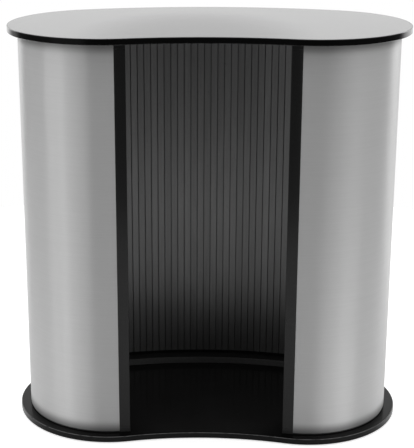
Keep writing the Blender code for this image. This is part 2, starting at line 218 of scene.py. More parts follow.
@dataclass(frozen=True)
class Plan:
    """The counter's plan, seen from above."""

    lobe_radius: float = 0.239
    lobe_spacing: float = 0.497
    rear_radius: float = 1.015
    waist_radius: float = 0.800
    overhang: float = 0.025
    opening_width: float = 0.3764
    post_width: float = 0.0268
    post_lap: float = 0.0085
    former_setback: float = 0.005

    def outline(self) -> Line:
        """The closed outline of both boards: waist, right lobe, rear and left lobe.

        Returns:
            The outline, which runs counterclockwise from the waist's left end.
        """
        half = self.lobe_spacing / 2
        rear_drop = math.sqrt((self.rear_radius - self.lobe_radius) ** 2 - half ** 2)
        waist_drop = math.sqrt((self.waist_radius + self.lobe_radius) ** 2 - half ** 2)
        lobe_y = (self.lobe_radius - (self.rear_radius - rear_drop)) / 2
        rear = math.atan2(rear_drop, half)
        waist = math.atan2(waist_drop, half)
        return Line((
            Arc((0, lobe_y - waist_drop), self.waist_radius, HALF_TURN - waist, waist, -1),
            Arc((half, lobe_y), self.lobe_radius, waist - HALF_TURN, rear, 1),
            Arc((0, lobe_y - rear_drop), self.rear_radius, rear, HALF_TURN - rear, 1),
            Arc((-half, lobe_y), self.lobe_radius, HALF_TURN - rear, FULL_TURN - waist, 1),
        ))

    def wall(self) -> Line:
        """The wall's line from its end in the right post, round the rear, to the left one.

        Returns:
            The wall's line at the boards' edge, to be moved inwards by the overhang.
        """
        _, right, rear, left = self.outline().arcs
        face = right.radius - self.overhang
        beyond = self.post_width - self.post_lap / 2
        aside = self.opening_width / 2 - right.centre[0]
        grip = math.atan2(beyond, face) - math.acos(aside / math.hypot(face, beyond))
        start = grip - self.post_lap / 2 / face
        return Line((replace(right, start=start), rear, replace(left, end=HALF_TURN - start)))

    def formers(self) -> Line:
        """The line that both formers follow, a little short of the posts' fronts."""
        extra = self.post_width - self.post_lap - self.former_setback
        return self.wall().lengthened(extra, self.overhang)


@dataclass(frozen=True)
class BuildUp:
    """Thicknesses behind the wall's face, and the depths from the boards' edge that follow."""

    overhang: float = 0.025
    skin: float = 0.0008
    slat: float = 0.006
    tape: float = 0.001
    tape_arris: float = 0.0002
    pile_arris: float = 0.0004
    post_wall: float = 0.0010
    former: float = 0.032
    sagitta: float = 0.000279
    gap: float = 0.0003

    @property
    def slat_face(self) -> float:
        """The slats' outer face."""
        return self.overhang + self.skin + self.gap

    @property
    def slat_back(self) -> float:
        """The slats' inner face."""
        return self.slat_face + self.slat

    @property
    def loop_face(self) -> float:
        """The loop tapes' outer face."""
        return self.slat_back + self.sagitta + self.gap

    @property
    def hook_face(self) -> float:
        """The hook tapes' outer face."""
        return self.loop_face + max(self.tape, self.post_wall) + self.gap

    @property
    def former_face(self) -> float:
        """The formers' outer edge."""
        return self.hook_face + self.tape + self.gap

    @property
    def former_back(self) -> float:
        """The formers' inner edge."""
        return self.former_face + self.former


PLAN = Plan()
DEPTHS = BuildUp()


# Node trees


@dataclass
class Sheet:
    """A node tree with a short way to add and join nodes."""

    tree: bpy.types.NodeTree

    def add(self, kind: str, inputs: dict[Any, Any] | None = None, **settings: Any) -> bpy.types.Node:
        """Add a node.

        Args:
            kind: the node's type name without its ShaderNode start.
            inputs: values or output sockets by input name or number.
            **settings: properties of the node.

        Returns:
            The node.
        """
        node = self.tree.nodes.new("ShaderNode" + kind)
        for name, value in settings.items():
            setattr(node, name, value)
        return self.wired(node, inputs or {})

    def wired(self, node: bpy.types.Node, inputs: dict[Any, Any]) -> bpy.types.Node:
        """Set or join a node's inputs.

        Args:
            node: the node.
            inputs: values or output sockets by input name or number.

        Returns:
            The node.
        """
        for key, value in inputs.items():
            if isinstance(value, bpy.types.NodeSocket):
                self.tree.links.new(value, node.inputs[key])
            else:
                node.inputs[key].default_value = value
        return node

    def maths(self, operation: str, first: Any, second: Any = 0.0, clamp: bool = False) -> Any:
        """The output of an operation on two values or sockets."""
        node = self.add("Math", {0: first, 1: second}, operation=operation, use_clamp=clamp)
        return node.outputs[0]

    def ramp(self, value: Any, low: float, high: float, to_low: Any = 0.0, to_high: Any = 1.0) -> Any:
        """The output of a smooth step from to_low at low to to_high at high."""
        inputs = {"Value": value, "From Min": low, "From Max": high, "To Min": to_low, "To Max": to_high}
        return self.add("MapRange", inputs, interpolation_type="SMOOTHSTEP").outputs[0]

    def scaled(self, colour: Any, factor: Any) -> Any:
        """The output of a colour times a factor."""
        return self.add("VectorMath", {0: colour, "Scale": factor}, operation="SCALE").outputs[0]

    def parts(self, kind: str) -> Any:
        """The outputs X, Y and Z of a kind of texture coordinates."""
        return self.add("SeparateXYZ", {0: self.add("TexCoord").outputs[kind]}).outputs

    def height(self) -> Any:
        """The output of a point's height in the object's own frame."""
        return self.parts("Object")[2]

    def oval(self, middle: tuple[float, float], reach: tuple[float, float]) -> Any:
        """How far out a point lies in plan, with 1 on an oval.

        Args:
            middle: the oval's middle in X and Y, in metres.
            reach: its half lengths along X and Y, in metres.

        Returns:
            The output that carries the squared distance.
        """
        place = self.parts("Object")
        squares = []
        for axis in (0, 1):
            share = self.maths("DIVIDE", self.maths("SUBTRACT", place[axis], middle[axis]), reach[axis])
            squares.append(self.maths("MULTIPLY", share, share))
        return self.maths("ADD", *squares)

    def blend(self, share: Any, first: Any, second: Any) -> Any:
        """The output of a mix of two colours."""
        node = self.add("Mix", {0: share, 6: first, 7: second}, data_type="RGBA")
        return node.outputs[2]

    def group(self, tree: bpy.types.NodeTree, inputs: dict[str, Any]) -> bpy.types.Node:
        """A node that stands for a shared group, with its own values."""
        return self.add("Group", inputs, node_tree=tree)


def open_group(name: str, inputs: dict[str, str], outputs: Iterable[str]) -> tuple[Sheet, Any, Any]:
    """Start a shared group of nodes.

    Args:
        name: the group's name.
        inputs: socket kinds by input name.
        outputs: names of the outputs, all plain values.

    Returns:
        The group's sheet, its input node and its output node.
    """
    tree = bpy.data.node_groups.new(name, "ShaderNodeTree")
    for label, kind in inputs.items():
        tree.interface.new_socket(label, in_out="INPUT", socket_type="NodeSocket" + kind)
    for label in outputs:
        tree.interface.new_socket(label, in_out="OUTPUT", socket_type="NodeSocketFloat")
    return Sheet(tree), tree.nodes.new("NodeGroupInput"), tree.nodes.new("NodeGroupOutput")


def slanting(sheet: Sheet, upward: Any) -> Any:
    """The output that is greatest between level and upright faces, as on a rounded arris."""
    square = sheet.maths("MULTIPLY", upward, upward)
    return sheet.maths("MULTIPLY", square, sheet.maths("SUBTRACT", 1.0, square))


def looking_up(sheet: Sheet, upward: Any) -> Any:
    """The output that is greatest on faces that look up."""
    return upward


@dataclass(frozen=True)
class Mask:
    """A shared group for a mask of chosen faces that noise breaks up.

    faces makes a value of the normal's share along Z, and limits and breaks are where that value
    and the noise let the mask fade in.
    """

    name: str
    faces: Callable[[Sheet, Any], Any]
    limits: tuple[float, float]
    noise: dict[str, float]
    breaks: tuple[float, float]

    def build(self) -> bpy.types.NodeTree:
        """Make the group.

        Returns:
            The group.
        """
        inputs = {"Coordinates": "Vector", "Normal": "Vector", "Scale": "Float", "Amount": "Float"}
        sheet, start, end = open_group(self.name, inputs, ("Mask",))
        given = start.outputs
        upward = sheet.add("SeparateXYZ", {0: given["Normal"]}).outputs[2]
        chosen = sheet.ramp(self.faces(sheet, upward), *self.limits)
        noise = sheet.add("TexNoise", {"Vector": given["Coordinates"], "Scale": given["Scale"], **self.noise})
        broken = sheet.maths("MULTIPLY", chosen, sheet.ramp(noise.outputs[0], *self.breaks))
        mask = sheet.maths("MULTIPLY", broken, given["Amount"], clamp=True)
        sheet.wired(end, {"Mask": mask})
        return sheet.tree


@dataclass(frozen=True)
class Grain:
    """A shared group for noise that can be drawn out along Z, as a value and as a height."""

    noise: dict[str, float] = field(default_factory=lambda: {"Detail": 4.0, "Roughness": 0.6})
    middle: tuple[float, float] = (0.3, 0.7)

    def build(self) -> bpy.types.NodeTree:
        """Make the group, whose value lies between the limits Low and High.

        Returns:
            The group.
        """
        values = dict.fromkeys(("Scale", "Along", "Low", "High"), "Float")
        inputs = {"Coordinates": "Vector", **values}
        sheet, start, end = open_group("fine_grain", inputs, ("Value", "Height"))
        given = start.outputs
        stretch = sheet.add("CombineXYZ", {0: 1.0, 1: 1.0, 2: given["Along"]}).outputs[0]
        both = {0: given["Coordinates"], 1: stretch}
        drawn = sheet.add("VectorMath", both, operation="MULTIPLY").outputs[0]
        noise = sheet.add("TexNoise", {"Vector": drawn, "Scale": given["Scale"], **self.noise}).outputs[0]
        value = sheet.ramp(noise, *self.middle, given["Low"], given["High"])
        sheet.wired(end, {"Value": value, "Height": noise})
        return sheet.tree


@dataclass
class Effects:
    """The shared groups: fine grain, worn arrises with a painted highlight along them, and settled dust."""

    grain: bpy.types.NodeTree = field(default_factory=Grain().build)
    wear_and_highlight: bpy.types.NodeTree = field(
        default_factory=Mask("arris_wear_and_highlight", slanting, (0.04, 0.22), {"Detail": 3.0}, (0.25, 0.55)).build
    )
    dust: bpy.types.NodeTree = field(
        default_factory=Mask(
            "settled_dust", looking_up, (0.5, 1.0), {"Detail": 6.0, "Roughness": 0.7}, (0.35, 0.75)
        ).build
    )


# Finishes


def grey(value: float) -> Colour:
    """A colour with one value in all its channels."""
    return value, value, value


@dataclass(frozen=True)
class Finish:
    """A surface finish: its colour, its gloss, its grain, how it ages and the light or shade painted on it.

    roughness holds the limits between which the grain moves it. tone is how far the colour
    strays to each side. along draws the grain out along Z where it is under 1, and across it
    where it is over. Dust roughens by dust_rough, and brushed turns the anisotropy.
    """

    surface: Surface
    slot: Slot
    colour: Colour
    roughness: tuple[float, float]
    metallic: float = 0.0
    specular: float = 0.5
    coat: float = 0.0
    coat_roughness: float = 0.1
    coat_ior: float = 1.5
    sheen: float = 0.0
    anisotropy: float = 0.0
    grain: float = 900.0
    along: float = 1.0
    bump: float = 0.1
    bump_height: float = 0.00005
    tone: float = 0.08
    tone_scale: float = 14.0
    brushed: float = 0.25
    wear_and_highlight: float = 0.0
    wear_and_highlight_scale: float = 60.0
    wear_and_highlight_colour: Colour = grey(0.16)
    dust: float = 0.0
    dust_scale: float = 7.0
    dust_rough: float = 0.5
    dust_colour: Colour = (0.20, 0.19, 0.18)

    def tint(self, sheet: Sheet, colour: Any) -> Any:
        """The colour after what only this finish has. Plain finishes leave it as it is."""
        return colour

    def height(self, sheet: Sheet, height: Any) -> Any:
        """The bump's height after what only this finish has."""
        return height

    def gloss(self, sheet: Sheet) -> Any:
        """The coat's weight, or a socket where it changes over the surface."""
        return self.coat

    def build(self, effects: Effects) -> bpy.types.Material:
        """Make the material.

        Args:
            effects: the shared groups.

        Returns:
            The finished material.
        """
        material = bpy.data.materials.new(self.surface.value)
        material.use_nodes = True
        sheet = Sheet(material.node_tree)
        shader = material.node_tree.nodes["Principled BSDF"]
        place = sheet.add("TexCoord")
        point = place.outputs["Object"]
        facing = place.outputs["Normal"]
        low, high = self.roughness
        drawn = {"Coordinates": point, "Along": self.along}
        grain = sheet.group(effects.grain, {**drawn, "Scale": self.grain, "Low": low, "High": high}).outputs
        clouded = {"Scale": self.tone_scale, "Low": 1 - self.tone, "High": 1 + self.tone}
        cloud = sheet.group(effects.grain, {**drawn, **clouded}).outputs["Value"]
        tinted = self.tint(sheet, sheet.scaled(self.colour, cloud))
        rough = grain["Value"]
        placed = {"Coordinates": point, "Normal": facing}
        # Worn arrises, which on the edge bands and the former are also a painted highlight line.
        if self.wear_and_highlight:
            amounts = {"Scale": self.wear_and_highlight_scale, "Amount": self.wear_and_highlight}
            worn_and_highlit = sheet.group(effects.wear_and_highlight, {**placed, **amounts}).outputs[0]
            tinted = sheet.blend(worn_and_highlit, tinted, (*self.wear_and_highlight_colour, 1))
        if self.dust:
            amounts = {"Scale": self.dust_scale, "Amount": self.dust}
            dusty = sheet.group(effects.dust, {**placed, **amounts}).outputs[0]
            tinted = sheet.blend(dusty, tinted, (*self.dust_colour, 1))
            rough = sheet.maths("ADD", rough, sheet.maths("MULTIPLY", dusty, self.dust_rough), clamp=True)
        raised = self.height(sheet, grain["Height"])
        bump = sheet.add("Bump", {"Strength": self.bump, "Distance": self.bump_height, "Height": raised})
        sheet.wired(shader, {
            "Base Color": tinted, "Roughness": rough, "Normal": bump.outputs[0],
            "Coat Weight": self.gloss(sheet), "Coat Roughness": self.coat_roughness,
            "Coat IOR": self.coat_ior, "Metallic": self.metallic, "Specular IOR Level": self.specular,
            "Sheen Weight": self.sheen, "Anisotropic": self.anisotropy,
            "Anisotropic Rotation": self.brushed if self.anisotropy else 0.0,
        })
        return material


@dataclass(frozen=True)
class PolishedFinish(Finish):
    """Laminate wiped to a gloss, and duller in the middle of its front where hands rest."""

    middle: tuple[float, float] = (-0.035, -0.20)
    reach: tuple[float, float] = (0.30, 0.42)
    dull_share: float = 0.5

    def gloss(self, sheet: Sheet) -> Any:
        """The coat's weight, less where hands rest."""
        away = sheet.oval(self.middle, self.reach)
        return sheet.ramp(away, 0.0, 1.0, self.coat * (1 - self.dull_share), self.coat)


@dataclass(frozen=True)
class LitWithinFinish(Finish):
    """Laminate painted paler where it faces up within the counter: painted light on the floor in the
    counter's shade.

    edge holds the limits, as shares of the oval, between which that fades out.
    """

    middle: tuple[float, float] = (0.0, 0.05)
    reach: tuple[float, float] = (0.26, 0.33)
    edge: tuple[float, float] = (0.7, 1.3)
    facing: tuple[float, float] = (0.2, 0.8)
    within_painted_light: float = 7.5

    def tint(self, sheet: Sheet, colour: Any) -> Any:
        """The colour, paler within the counter by painted light.

        Args:
            sheet: the material's sheet.
            colour: the colour so far.

        Returns:
            The output that carries the colour.
        """
        # Painted light on the up-facing floor within the counter, which lies in shade.
        within = sheet.ramp(sheet.oval(self.middle, self.reach), *self.edge, self.within_painted_light - 1, 0.0)
        upward = sheet.ramp(sheet.parts("Normal")[2], *self.facing)
        share = sheet.maths("MULTIPLY", within, upward)
        return sheet.scaled(colour, sheet.maths("ADD", share, 1.0))


@dataclass(frozen=True)
class RimFinish(Finish):
    """Plastic edging that is dark from the front and mirrors at a glance."""

    glance: tuple[float, float] = (0.35, 0.75)

    def gloss(self, sheet: Sheet) -> Any:
        """The coat's weight, full where the surface turns away."""
        facing = sheet.add("LayerWeight", {"Blend": 0.5}).outputs["Facing"]
        return sheet.ramp(facing, *self.glance, 0.0, self.coat)


@dataclass(frozen=True)
class SkinFinish(Finish):
    """Brushed silver laminate with painted shade along its foot and its head, on a dark backing."""

    foot: float = 0.0206
    head: float = 0.984
    foot_reach: float = 0.030
    head_reach: float = 0.026
    foot_painted_shade: float = 0.62
    head_painted_shade: float = 0.48
    backing: float = 0.05
    turned: tuple[float, float] = (-0.05, -0.01)

    def tint(self, sheet: Sheet, colour: Any) -> Any:
        """The colour, darker along both edges by painted shade, and darker on the side that faces the
        counter's inside.

        Args:
            sheet: the material's sheet.
            colour: the colour so far.

        Returns:
            The output that carries the colour.
        """
        level = sheet.height()
        # Painted shade along the foot and the head, where the boards meet the sheet.
        low = sheet.ramp(level, self.foot, self.foot + self.foot_reach, 1 - self.foot_painted_shade, 1.0)
        high = sheet.ramp(level, self.head - self.head_reach, self.head, 1.0, 1 - self.head_painted_shade)
        place = sheet.add("TexCoord").outputs
        flat = sheet.add("VectorMath", {0: place["Object"], 1: (1, 1, 0)}, operation="MULTIPLY").outputs[0]
        outward = sheet.add("VectorMath", {0: flat, 1: place["Normal"]}, operation="DOT_PRODUCT").outputs[1]
        front = sheet.ramp(outward, *self.turned, self.backing, 1.0)
        return sheet.scaled(colour, sheet.maths("MULTIPLY", front, sheet.maths("MULTIPLY", low, high)))


@dataclass(frozen=True)
class LowPaintedFinish(Finish):
    """A finish painted paler or darker low down: painted light where it is paler, painted shade where it is
    darker.

    painted_low_to holds the levels between which that fades out.
    """

    painted_low_to: tuple[float, float] = (0.25, 0.55)
    painted_low_tone: float = 1.0

    def tint(self, sheet: Sheet, colour: Any) -> Any:
        """The colour times the painted low tone, which fades out upwards."""
        return sheet.scaled(colour, sheet.ramp(sheet.height(), *self.painted_low_to, self.painted_low_tone, 1.0))


@dataclass(frozen=True)
class SlatFinish(LowPaintedFinish):
    """Slats that differ a little in tone from one to the next."""

    def tint(self, sheet: Sheet, colour: Any) -> Any:
        """The colour with its painted shade low down, times each slat's own tone."""
        tone = sheet.add("Attribute", attribute_name="tone").outputs["Fac"]
        return sheet.scaled(super().tint(sheet, colour), tone)


@dataclass(frozen=True)
class UprightLitFinish(Finish):
    """Stained board, painted paler on its upright sawn edges than on its faces: painted light."""

    upright_painted_light: float = 5.0
    facing: tuple[float, float] = (0.2, 0.9)

    def tint(self, sheet: Sheet, colour: Any) -> Any:
        """The colour, lifted on upright faces by painted light."""
        level = sheet.maths("ABSOLUTE", sheet.parts("Normal")[2])
        return sheet.scaled(colour, sheet.ramp(level, *self.facing, self.upright_painted_light, 1.0))


@dataclass(frozen=True)
class TapeFinish(Finish):
    """Woven tape with a pile, in rows of a set spacing up its face and of a set share of the height."""

    row: float = 0.0016
    relief: float = 0.3

    def height(self, sheet: Sheet, height: Any) -> Any:
        """The pile's noise on top of the weave's rows."""
        wave = sheet.maths("SINE", sheet.maths("MULTIPLY", sheet.height(), FULL_TURN / self.row))
        return sheet.maths("ADD", height, sheet.maths("MULTIPLY", wave, self.relief))


FINISHES = (
    PolishedFinish(
        Surface.WORKTOP_LAMINATE, Slot.LAMINATE, grey(0.0045), (0.18, 0.26), coat=0.8,
        coat_roughness=0.15, grain=1400, bump=0.05, dust=0.02, wear_and_highlight=0.1,
    ),
    LitWithinFinish(
        Surface.BASE_LAMINATE, Slot.LAMINATE, grey(0.0012), (0.12, 0.18), specular=0.14,
        grain=1400, bump=0.08, dust=0.01, wear_and_highlight=0.1,
    ),
    # The arris wear here is worn edges and also a painted highlight line along them.
    RimFinish(
        Surface.WORKTOP_BAND, Slot.BAND, grey(0.0012), (0.18, 0.26), specular=0.08,
        coat=1.0, coat_roughness=0.05, coat_ior=2.4, grain=1800, bump=0.05, wear_and_highlight=0.6,
        wear_and_highlight_colour=grey(0.1), glance=(0.50, 0.62),
    ),
    # The arris wear here paints a highlight line along the band's rounded top edge.
    RimFinish(
        Surface.BASE_BAND, Slot.BAND, grey(0.0025), (0.22, 0.30), specular=0.22, coat=0.6,
        coat_roughness=0.1, grain=1800, bump=0.05, wear_and_highlight=0.6, wear_and_highlight_colour=grey(0.18),
    ),
    Finish(
        Surface.CORE, Slot.CORE, (0.40, 0.30, 0.20), (0.75, 0.9), specular=0.2, grain=1200,
        bump=0.4, tone=0.18, tone_scale=240,
    ),
    # Upright faces painted paler, and the arris wear a painted highlight line: painted light on the former.
    UprightLitFinish(
        Surface.BOARD, Slot.BOARD, grey(0.012), (0.5, 0.65), specular=0.3, grain=1500,
        bump=0.25, tone=0.15, tone_scale=200, wear_and_highlight=0.6, wear_and_highlight_colour=grey(0.12),
    ),
    SkinFinish(
        Surface.SILVER, Slot.SILVER, grey(0.62), (0.42, 0.48), metallic=0.9, anisotropy=1.0,
        grain=60, along=40, bump=0.04, tone=0.015, tone_scale=8,
    ),
    # Darker low down: painted shade on the slats' lower part.
    SlatFinish(
        Surface.SLATS, Slot.SLATS, grey(0.152), (0.27, 0.35), metallic=0.7, grain=1800,
        along=0.06, bump=0.12, tone=0.06, tone_scale=160, dust=0.03, painted_low_to=(0.15, 0.66),
        painted_low_tone=0.77,
    ),
    # Paler low down: painted light, the floor's reflection on the posts' lower part.
    LowPaintedFinish(
        Surface.PROFILE, Slot.PROFILE, grey(0.0008), (0.22, 0.30), specular=0.32, grain=1600,
        bump=0.10, wear_and_highlight=0.15, painted_low_to=(0.46, 0.66), painted_low_tone=10.5,
    ),
    # Paler low down, on the foot caps: painted light.
    LowPaintedFinish(
        Surface.PLASTIC, Slot.PLASTIC, grey(0.003), (0.24, 0.34), specular=0.26, grain=2400,
        bump=0.15, wear_and_highlight=0.1, painted_low_tone=6.0,
    ),
    TapeFinish(
        Surface.TAPE, Slot.TAPE, grey(0.004), (0.85, 1.0), specular=0.1, sheen=0.05,
        grain=2600, bump=0.9, bump_height=0.0003, tone=0.3, tone_scale=900,
    ),
    Finish(
        Surface.ZINC, Slot.ZINC, (0.58, 0.58, 0.55), (0.22, 0.4), metallic=1.0, grain=1500,
        bump=0.1, tone=0.12, tone_scale=400, wear_and_highlight=0.1, wear_and_highlight_colour=(0.75, 0.75, 0.72),
    ),
    Finish(
        Surface.RUBBER, Slot.RUBBER, grey(0.014), (0.7, 0.9), specular=0.3, grain=2200,
        bump=0.4, tone=0.15, tone_scale=300, dust=0.05,
    ),
)


# Making pieces


@dataclass
class Workshop:
    """Turns finished shapes into pieces that ride on their body."""

    effects: Effects
    finishes: dict[Surface, tuple[Slot, bpy.types.Material]] = field(init=False)
    made: list[bpy.types.Object] = field(default_factory=list)

    def __post_init__(self) -> None:
        """Make every finish's material."""
        self.finishes = {each.surface: (each.slot, each.build(self.effects)) for each in FINISHES}

    def piece(
        self, name: str, bm: bmesh.types.BMesh, body: Body, surface: Surface, nodes: Iterable[str],
    ) -> None:
        """Make a piece of a finished shape.

        Args:
            name: the piece's name.
            bm: its shape, in place. It is freed.
            body: the body that it rides on.
            surface: its finished surface.
            nodes: the CAD nodes that it stands for.
        """
        bmesh.ops.remove_doubles(bm, verts=bm.verts, dist=WELD)
        bmesh.ops.recalc_face_normals(bm, faces=bm.faces)
        mesh = bpy.data.meshes.new(name)
        bm.to_mesh(mesh)
        bm.free()
        mesh.shade_smooth()
        mesh.set_sharp_from_angle(angle=SHARP_ANGLE)
        slot, material = self.finishes[surface]
        mesh.materials.append(material)
        item = bpy.data.objects.new(name, mesh)
        bpy.context.scene.collection.objects.link(item)
        weighted = item.modifiers.new("weighted_normals", "WEIGHTED_NORMAL")
        weighted.keep_sharp = True
        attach(item, body.value)
        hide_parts(*nodes)
        self.made.append(item)
        LOG.info("%s: %d faces on %s", name, len(mesh.polygons), body.value)


@dataclass
class Maker:
    """Something that makes pieces in a workshop."""

    shop: Workshop


def levels(node: str) -> tuple[float, float]:
    """The lowest and highest level of a CAD node."""
    low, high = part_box(node)
    return low.z, high.z


def only(kind: type, geom: Iterable[Any]) -> list[Any]:
    """The elements of one kind."""
    return [item for item in geom if isinstance(item, kind)]


def once(geom: Iterable[Any]) -> list[Any]:
    """Each element once, in the order that they are met."""
    return list(dict.fromkeys(geom))


def follow(bm: bmesh.types.BMesh, geom: list[Any], line: Line, level: float, longest: float) -> None:
    """Spin what is drawn at a line's start through the line's arcs.

    Args:
        bm: the shape that holds it.
        geom: its elements.
        line: the line in plan.
        level: the height of the arcs' centres.
        longest: the longest chord.
    """
    for arc in line.arcs:
        geom = bmesh.ops.spin(
            bm, geom=geom, cent=(*arc.centre, level), axis=(0, 0, 1), angle=arc.end - arc.start,
            steps=arc.steps(longest),
        )["geom_last"]


def draw(bm: bmesh.types.BMesh, line: Line, inset: float, level: float) -> Edges:
    """Draw a line at a level by spinning a vertex through its arcs.

    Args:
        bm: the shape to draw in.
        line: the line in plan.
        inset: how far inwards the line is moved.
        level: its height.

    Returns:
        The line's edges from its start to its end.
    """
    first = line.arcs[0]
    start = bm.verts.new(first.point(first.start, inset, level))
    before = set(bm.edges)
    follow(bm, [start], line, level, CHORD)
    return [edge for edge in bm.edges if edge not in before]


def open_ends(edges: Edges) -> list[bmesh.types.BMVert]:
    """The vertices where a row of edges begins and ends.

    Args:
        edges: the edges of an open row.

    Returns:
        Its two end vertices.
    """
    chosen = set(edges)
    verts = once(vert for edge in edges for vert in edge.verts)
    return [vert for vert in verts if sum(link in chosen for link in vert.link_edges) == 1]


def closed_line(bm: bmesh.types.BMesh, line: Line, inset: float, level: float) -> Edges:
    """A closed line at a level, with its two ends welded.

    Args:
        bm: the shape to draw in.
        line: a line in plan that ends where it starts.
        inset: how far inwards the line is moved.
        level: its height.

    Returns:
        The line's edges.
    """
    before = set(bm.edges)
    ends = open_ends(draw(bm, line, inset, level))
    bmesh.ops.remove_doubles(bm, verts=ends, dist=WELD)
    return [edge for edge in bm.edges if edge not in before]


def ring(bm: bmesh.types.BMesh, centre: Vector, radius: float, level: float, sides: int = 24) -> Edges:
    """A circle of edges at a level.

    Args:
        bm: the shape to draw in.
        centre: its centre, of which the height isn't used.
        radius: its radius.
        level: its height.
        sides: the number of edges.

    Returns:
        The circle's edges.
    """
    place = Matrix.Translation((centre.x, centre.y, level))
    made = bmesh.ops.create_circle(bm, cap_ends=False, radius=radius, segments=sides, matrix=place)
    return once(edge for vert in made["verts"] for edge in vert.link_edges)


def fill(bm: bmesh.types.BMesh, edges: Edges) -> list[bmesh.types.BMFace]:
    """The new faces within the outer of some closed rows of edges and round the inner ones."""
    filled = bmesh.ops.triangle_fill(bm, use_beauty=True, use_dissolve=False, edges=edges)
    return only(bmesh.types.BMFace, filled["geom"])


def raise_faces(bm: bmesh.types.BMesh, faces: list[bmesh.types.BMFace], height: float) -> None:
    """Extrude flat faces along Z by a height, downwards where it is negative."""
    raised = bmesh.ops.extrude_face_region(bm, geom=faces)["geom"]
    bmesh.ops.translate(bm, vec=(0, 0, height), verts=only(bmesh.types.BMVert, raised))


def upright(middle: Vector, low: float, high: float) -> bool:
    """Whether an edge's middle lies between two levels, as an upright edge's does."""
    return min(abs(middle.z - low), abs(middle.z - high)) > WELD


def corner_edges(bm: bmesh.types.BMesh, test: Callable[[Vector], bool]) -> Edges:
    """The sharp edges between two faces that pass a test of their middle.

    Args:
        bm: the shape that holds them.
        test: says of an edge's middle whether the edge is wanted.

    Returns:
        The edges.
    """
    sharp = [
        edge for edge in bm.edges
        if len(edge.link_faces) == 2 and edge.calc_face_angle(0.0) > CORNER_ANGLE
    ]
    return [edge for edge in sharp if test((edge.verts[0].co + edge.verts[1].co) / 2)]


def ease(
    bm: bmesh.types.BMesh, geom: list[Any], size: float, segments: int = 3, affect: str = "EDGES",
) -> None:
    """Round edges off by a size, or the corners of a flat face.

    Args:
        bm: the shape that holds them.
        geom: the edges, or the corners' vertices.
        size: the rounding's reach along each face or edge.
        segments: its steps, or 1 for a chamfer.
        affect: EDGES or VERTICES.
    """
    bmesh.ops.bevel(
        bm, geom=geom, offset=size, offset_type="OFFSET", affect=affect, segments=segments,
        profile=0.5, material=-1, clamp_overlap=True,
    )


def sweep(
    bm: bmesh.types.BMesh, line: Line, depths: tuple[float, float], span: tuple[float, float],
    rounding: tuple[float, float], segments: int = 3, longest: float = CHORD,
) -> None:
    """Sweep a box-shaped section along a line.

    Args:
        bm: the shape to add to.
        line: the line in plan.
        depths: the section's outer and inner depth behind the line.
        span: its lowest and highest level.
        rounding: the rounding of its outer and its inner corners.
        segments: the steps in each rounding.
        longest: the longest chord along the line.
    """
    first = line.arcs[0]
    outer = [first.point(first.start, depths[0], level) for level in span]
    inner = [first.point(first.start, depths[1], level) for level in span]
    verts = [bm.verts.new(point) for point in (outer[0], outer[1], inner[1], inner[0])]
    bmesh.ops.contextual_create(bm, geom=verts)
    for corners, size in ((verts[:2], rounding[0]), (verts[2:], rounding[1])):
        if size:
            ease(bm, corners, size, segments, "VERTICES")
    follow(bm, bm.faces[:] + bm.edges[:] + bm.verts[:], line, 0, longest)


def turned(
    bm: bmesh.types.BMesh, profile: Iterable[tuple[float, float]], place: Vector, sides: int,
) -> list[Any]:
    """Turn a profile about an upright axis.

    Args:
        bm: the shape to add to.
        profile: points of radius and height, from the foot up.
        place: the axis' foot.
        sides: the steps of the turn.

    Returns:
        The vertices of the solid.
    """
    before = set(bm.verts)
    verts = [bm.verts.new((radius, 0, height)) for radius, height in profile]
    edges = [bm.edges.new(pair) for pair in zip(verts, verts[1:])]
    bmesh.ops.spin(
        bm, geom=verts + edges, cent=(0, 0, 0), axis=(0, 0, 1), angle=FULL_TURN, steps=sides,
        use_merge=True,
    )
    made = [vert for vert in bm.verts if vert not in before]
    bmesh.ops.remove_doubles(bm, verts=made, dist=WELD)
    made = [vert for vert in bm.verts if vert not in before]
    bmesh.ops.translate(bm, vec=place, verts=made)
    return made


# Boards


